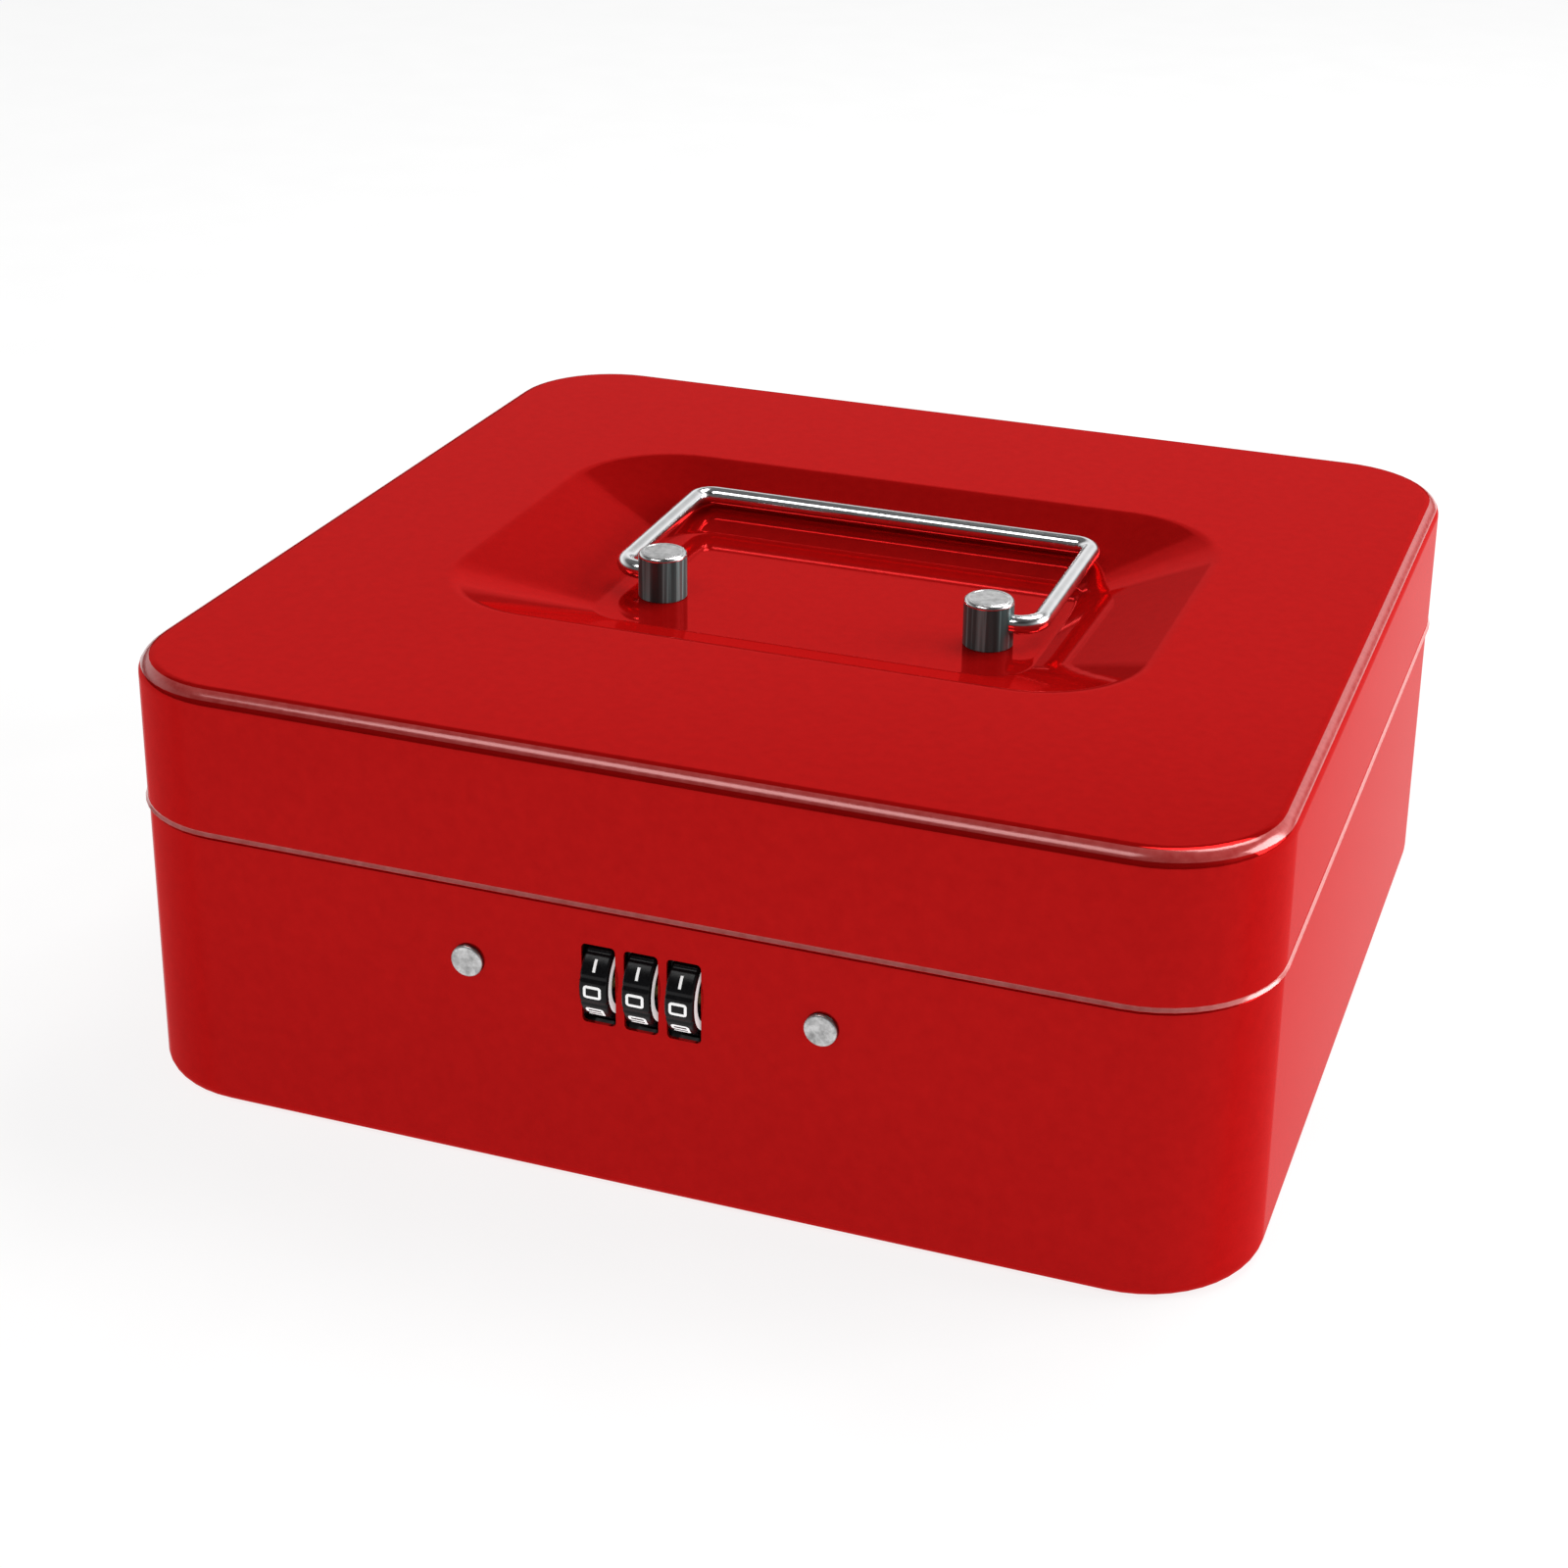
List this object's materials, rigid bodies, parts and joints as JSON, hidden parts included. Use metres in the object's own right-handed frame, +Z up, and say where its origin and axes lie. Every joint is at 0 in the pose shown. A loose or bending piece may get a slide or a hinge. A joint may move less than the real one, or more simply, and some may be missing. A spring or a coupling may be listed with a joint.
{
  "type": "cash box",
  "caption": "Lockable steel cash box: hinged lid with a recessed folding wire handle, combination dial lock in the front wall and a lift-out coin tray.",
  "frame": {"origin": "centre of the footprint, on the surface that the box stands on", "axes": "+Z up, +X to the right seen from the front, the dials face -Y and the lid hinges along the back at +Y"},
  "size_m": [0.23, 0.2228, 0.0911],
  "materials": {
    "red_paint": "gloss red powder coat",
    "chrome_wire": "bright chrome",
    "polished_steel": "turned and polished, satin top",
    "zinc_steel": "zinc plated",
    "rivet_aluminium": "satin",
    "black_case": "matt",
    "black_dial": "semi-gloss with white figures",
    "brass_sleeve": "machined",
    "tray_plastic": "fine grain"
  },
  "bodies": {
    "base": {"base_shell": "red_paint", "lock_housing": "black_case", "lock_back_plate": "zinc_steel", "back_plate_screws": "zinc_steel", "lock_rivets": "rivet_aluminium", "dial_axle": "zinc_steel", "sleeve_spring": "zinc_steel", "detent_spring": "zinc_steel", "hinge_base_leaf_left": "zinc_steel", "hinge_base_leaf_right": "zinc_steel", "hinge_pin_left": "zinc_steel", "hinge_pin_right": "zinc_steel", "hinge_base_rivets": "rivet_aluminium"},
    "lid": {"lid_shell": "red_paint", "lid_catch": "zinc_steel", "hinge_lid_leaf_left": "zinc_steel", "hinge_lid_leaf_right": "zinc_steel", "hinge_lid_rivets": "rivet_aluminium", "handle_post_left": "polished_steel", "handle_post_right": "polished_steel", "post_screws": "zinc_steel", "post_washers": "zinc_steel"},
    "handle": {"handle_wire": "chrome_wire"},
    "dial_1": {"dial_wheel_1": "black_dial", "code_sleeve_1": "brass_sleeve"},
    "dial_2": {"dial_wheel_2": "black_dial", "code_sleeve_2": "brass_sleeve"},
    "dial_3": {"dial_wheel_3": "black_dial", "code_sleeve_3": "brass_sleeve"},
    "code_lever": {"reset_lever": "black_case"},
    "tray": {"coin_tray": "tray_plastic"}
  },
  "joints": [
    {"name": "lid_hinge", "type": "hinge", "parent": "base", "child": "lid", "pos_m": [0, 0.1094, 0.0593], "axis": [-1, 0, 0], "range_deg": [0, 105]},
    {"name": "handle_pivot", "type": "hinge", "parent": "lid", "child": "handle", "pos_m": [0, -0.01, 0.086], "axis": [1, 0, 0], "range_deg": [0, 168]},
    {"name": "dial_1_turn", "type": "hinge", "parent": "base", "child": "dial_1", "pos_m": [-0.00855, -0.1031, 0.0437], "axis": [1, 0, 0], "continuous": true},
    {"name": "dial_2_turn", "type": "hinge", "parent": "base", "child": "dial_2", "pos_m": [0, -0.1031, 0.0437], "axis": [1, 0, 0], "continuous": true},
    {"name": "dial_3_turn", "type": "hinge", "parent": "base", "child": "dial_3", "pos_m": [0.00855, -0.1031, 0.0437], "axis": [1, 0, 0], "continuous": true},
    {"name": "code_lever_slide", "type": "slide", "parent": "base", "child": "code_lever", "axis": [1, 0, 0], "range_m": [0, 0.003]},
    {"name": "tray_lift", "type": "slide", "parent": "base", "child": "tray", "axis": [0, 0, 1], "range_m": [0, 0.009]}
  ]
}
